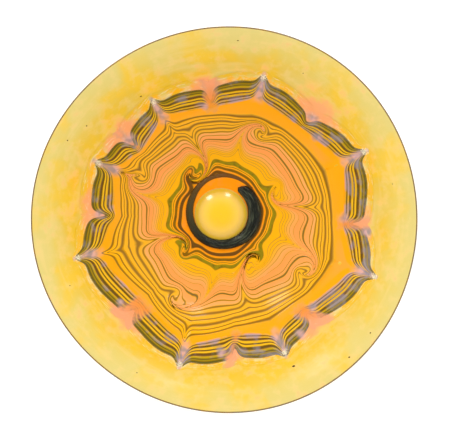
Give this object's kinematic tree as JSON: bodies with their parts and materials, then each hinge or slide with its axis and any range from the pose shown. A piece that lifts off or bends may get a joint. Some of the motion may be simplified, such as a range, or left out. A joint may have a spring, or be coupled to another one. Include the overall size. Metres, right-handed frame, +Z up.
{
  "type": "art glass bowl",
  "caption": "Wide footless blown glass bowl with a flared lip, coloured skins and combed threads fused inside, a coiled trail and a domed button at its centre.",
  "frame": {"origin": "centre of the ground ring that the bowl stands on, in the plane of the ring", "axes": "+Z up along the bowl's axis; +Y points away from the viewer who looks down with the trail's open side at the top"},
  "size_m": [0.3, 0.3, 0.0737],
  "materials": {
    "bowl_wall": "fire-polished, opal yellow",
    "halo_overlay": "fire-polished, opal salmon",
    "feather_band": "fire-polished, golden olive",
    "feather_threads": "fire-polished, dark brown",
    "well_overlay": "fire-polished, opal peach",
    "well_threads": "fire-polished, golden brown",
    "amber_overlay": "fire-polished, opal amber",
    "ring_trail": "fire-polished, olive brown",
    "dark_trail": "glossy, black green",
    "center_button": "glossy, opal yellow",
    "lip_wrap": "fire-polished, dark olive"
  },
  "bodies": {
    "root": {"bowl_wall": "bowl_wall", "halo_overlay": "halo_overlay", "feather_band": "feather_band", "feather_threads": "feather_threads", "well_overlay": "well_overlay", "well_threads": "well_threads", "amber_overlay": "amber_overlay", "ring_trail": "ring_trail", "dark_trail": "dark_trail", "center_button": "center_button", "lip_wrap": "lip_wrap"}
  },
  "joints": []
}
